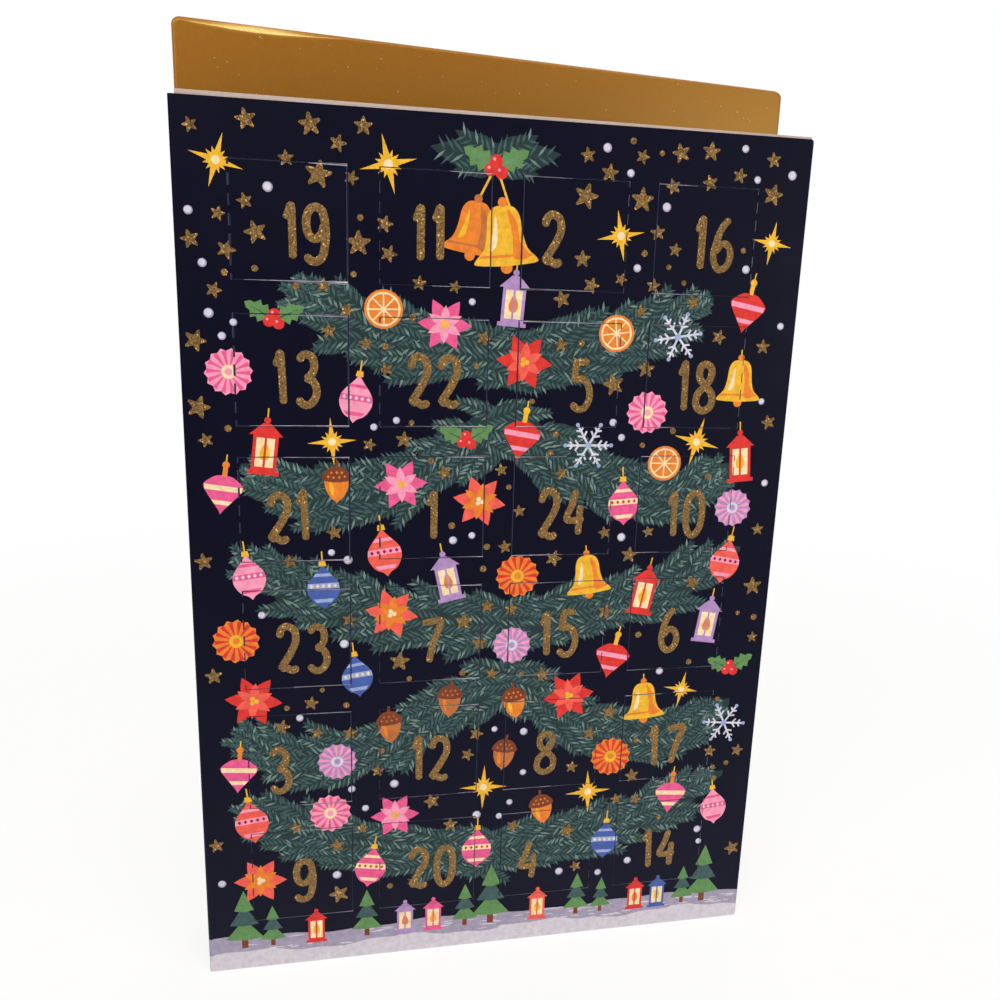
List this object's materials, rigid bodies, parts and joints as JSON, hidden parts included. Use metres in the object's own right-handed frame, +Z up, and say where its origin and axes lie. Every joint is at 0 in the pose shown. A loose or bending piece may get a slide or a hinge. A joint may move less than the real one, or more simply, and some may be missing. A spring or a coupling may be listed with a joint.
{
  "type": "advent calendar card",
  "caption": "Folded card that stands on its lower edges, with a grid of hinged paper doors cut in its front leaf over a picture sheet, and a gold envelope standing behind it.",
  "frame": {"origin": "middle of the front leaf's lower edge, half way through its board, on the surface the card stands on", "axes": "+X along the front leaf from the fold to its free edge, +Y from the printed face to the back, +Z up"},
  "size_m": [0.1597, 0.0456, 0.2307],
  "materials": {
    "printed_board": "navy print under a satin coating on white board",
    "white_board": "uncoated white board, matte",
    "adhesive": "dried glue film",
    "gold_paper": "gold pearlescent paper, satin",
    "gold_glitter": "gold glitter on clear glue"
  },
  "bodies": {
    "back_leaf": {"back_board": "printed_board", "spine_fold": "printed_board"},
    "front_leaf": {"front_board": "printed_board", "glue_layer": "adhesive", "picture_sheet": "white_board"},
    "door_01": {"door_01": "printed_board"},
    "door_02": {"door_02": "printed_board"},
    "door_03": {"door_03": "printed_board"},
    "door_04": {"door_04": "printed_board"},
    "door_05": {"door_05": "printed_board"},
    "door_06": {"door_06": "printed_board"},
    "door_07": {"door_07": "printed_board"},
    "door_08": {"door_08": "printed_board"},
    "door_09": {"door_09": "printed_board"},
    "door_10": {"door_10": "printed_board"},
    "door_11": {"door_11": "printed_board"},
    "door_12": {"door_12": "printed_board"},
    "door_13": {"door_13": "printed_board"},
    "door_14": {"door_14": "printed_board"},
    "door_15": {"door_15": "printed_board"},
    "door_16": {"door_16": "printed_board"},
    "door_17": {"door_17": "printed_board"},
    "door_18": {"door_18": "printed_board"},
    "door_19": {"door_19": "printed_board"},
    "door_20": {"door_20": "printed_board"},
    "door_21": {"door_21": "printed_board"},
    "door_22": {"door_22": "printed_board"},
    "door_23": {"door_23": "printed_board"},
    "door_24": {"door_24": "printed_board"},
    "envelope": {"envelope_front_panel": "gold_paper", "envelope_back_panel": "gold_paper", "envelope_left_flap": "gold_paper", "envelope_right_flap": "gold_paper", "envelope_left_fold": "gold_paper", "envelope_right_fold": "gold_paper", "envelope_bottom_fold": "gold_paper", "envelope_top_fold": "gold_paper"},
    "closing_flap": {"envelope_closing_flap": "gold_paper"}
  },
  "joints": [
    {"name": "card_fold", "type": "hinge", "parent": "back_leaf", "child": "front_leaf", "pos_m": [-0.0716, -0.0002, 0.105], "axis": [0, 0, -1], "range_deg": [-7.8, 160]},
    {"name": "hinge_19", "type": "hinge", "parent": "front_leaf", "child": "door_19", "pos_m": [-0.06105, -0.0002, 0.18575], "axis": [0, 0, -1], "range_deg": [0, 160]},
    {"name": "hinge_11", "type": "hinge", "parent": "front_leaf", "child": "door_11", "pos_m": [-0.02915, -0.0002, 0.18575], "axis": [0, 0, -1], "range_deg": [0, 160]},
    {"name": "hinge_02", "type": "hinge", "parent": "front_leaf", "child": "door_02", "pos_m": [0.02775, -0.0002, 0.18575], "axis": [0, 0, 1], "range_deg": [0, 160]},
    {"name": "hinge_16", "type": "hinge", "parent": "front_leaf", "child": "door_16", "pos_m": [0.05965, -0.0002, 0.18575], "axis": [0, 0, 1], "range_deg": [0, 160]},
    {"name": "hinge_13", "type": "hinge", "parent": "front_leaf", "child": "door_13", "pos_m": [-0.06105, -0.0002, 0.15385], "axis": [0, 0, -1], "range_deg": [0, 160]},
    {"name": "hinge_22", "type": "hinge", "parent": "front_leaf", "child": "door_22", "pos_m": [-0.02915, -0.0002, 0.15385], "axis": [0, 0, -1], "range_deg": [0, 160]},
    {"name": "hinge_05", "type": "hinge", "parent": "front_leaf", "child": "door_05", "pos_m": [0.02775, -0.0002, 0.15385], "axis": [0, 0, 1], "range_deg": [0, 160]},
    {"name": "hinge_18", "type": "hinge", "parent": "front_leaf", "child": "door_18", "pos_m": [0.05965, -0.0002, 0.15385], "axis": [0, 0, 1], "range_deg": [0, 160]},
    {"name": "hinge_21", "type": "hinge", "parent": "front_leaf", "child": "door_21", "pos_m": [-0.06105, -0.0002, 0.12195], "axis": [0, 0, -1], "range_deg": [0, 160]},
    {"name": "hinge_01", "type": "hinge", "parent": "front_leaf", "child": "door_01", "pos_m": [-0.02915, -0.0002, 0.12195], "axis": [0, 0, -1], "range_deg": [0, 160]},
    {"name": "hinge_24", "type": "hinge", "parent": "front_leaf", "child": "door_24", "pos_m": [0.02775, -0.0002, 0.12195], "axis": [0, 0, 1], "range_deg": [0, 160]},
    {"name": "hinge_10", "type": "hinge", "parent": "front_leaf", "child": "door_10", "pos_m": [0.05965, -0.0002, 0.12195], "axis": [0, 0, 1], "range_deg": [0, 160]},
    {"name": "hinge_23", "type": "hinge", "parent": "front_leaf", "child": "door_23", "pos_m": [-0.06105, -0.0002, 0.09005], "axis": [0, 0, -1], "range_deg": [0, 160]},
    {"name": "hinge_07", "type": "hinge", "parent": "front_leaf", "child": "door_07", "pos_m": [-0.02915, -0.0002, 0.09005], "axis": [0, 0, -1], "range_deg": [0, 160]},
    {"name": "hinge_15", "type": "hinge", "parent": "front_leaf", "child": "door_15", "pos_m": [0.02775, -0.0002, 0.09005], "axis": [0, 0, 1], "range_deg": [0, 160]},
    {"name": "hinge_06", "type": "hinge", "parent": "front_leaf", "child": "door_06", "pos_m": [0.05965, -0.0002, 0.09005], "axis": [0, 0, 1], "range_deg": [0, 160]},
    {"name": "hinge_03", "type": "hinge", "parent": "front_leaf", "child": "door_03", "pos_m": [-0.06105, -0.0002, 0.05815], "axis": [0, 0, -1], "range_deg": [0, 160]},
    {"name": "hinge_12", "type": "hinge", "parent": "front_leaf", "child": "door_12", "pos_m": [-0.02915, -0.0002, 0.05815], "axis": [0, 0, -1], "range_deg": [0, 160]},
    {"name": "hinge_08", "type": "hinge", "parent": "front_leaf", "child": "door_08", "pos_m": [0.02775, -0.0002, 0.05815], "axis": [0, 0, 1], "range_deg": [0, 160]},
    {"name": "hinge_17", "type": "hinge", "parent": "front_leaf", "child": "door_17", "pos_m": [0.05965, -0.0002, 0.05815], "axis": [0, 0, 1], "range_deg": [0, 160]},
    {"name": "hinge_09", "type": "hinge", "parent": "front_leaf", "child": "door_09", "pos_m": [-0.06105, -0.0002, 0.02625], "axis": [0, 0, -1], "range_deg": [0, 160]},
    {"name": "hinge_20", "type": "hinge", "parent": "front_leaf", "child": "door_20", "pos_m": [-0.02915, -0.0002, 0.02625], "axis": [0, 0, -1], "range_deg": [0, 160]},
    {"name": "hinge_04", "type": "hinge", "parent": "front_leaf", "child": "door_04", "pos_m": [0.02775, -0.0002, 0.02625], "axis": [0, 0, 1], "range_deg": [0, 160]},
    {"name": "hinge_14", "type": "hinge", "parent": "front_leaf", "child": "door_14", "pos_m": [0.05965, -0.0002, 0.02625], "axis": [0, 0, 1], "range_deg": [0, 160]},
    {"name": "envelope_slide", "type": "slide", "parent": "back_leaf", "child": "envelope", "axis": [-0.1357, 0.9907, 0], "range_m": [0, 0.08]},
    {"name": "flap_crease", "type": "hinge", "parent": "envelope", "child": "closing_flap", "pos_m": [0.00534, 0.03458, 0.22935], "axis": [0.9907, 0.1357, 0], "range_deg": [0, 170]}
  ]
}
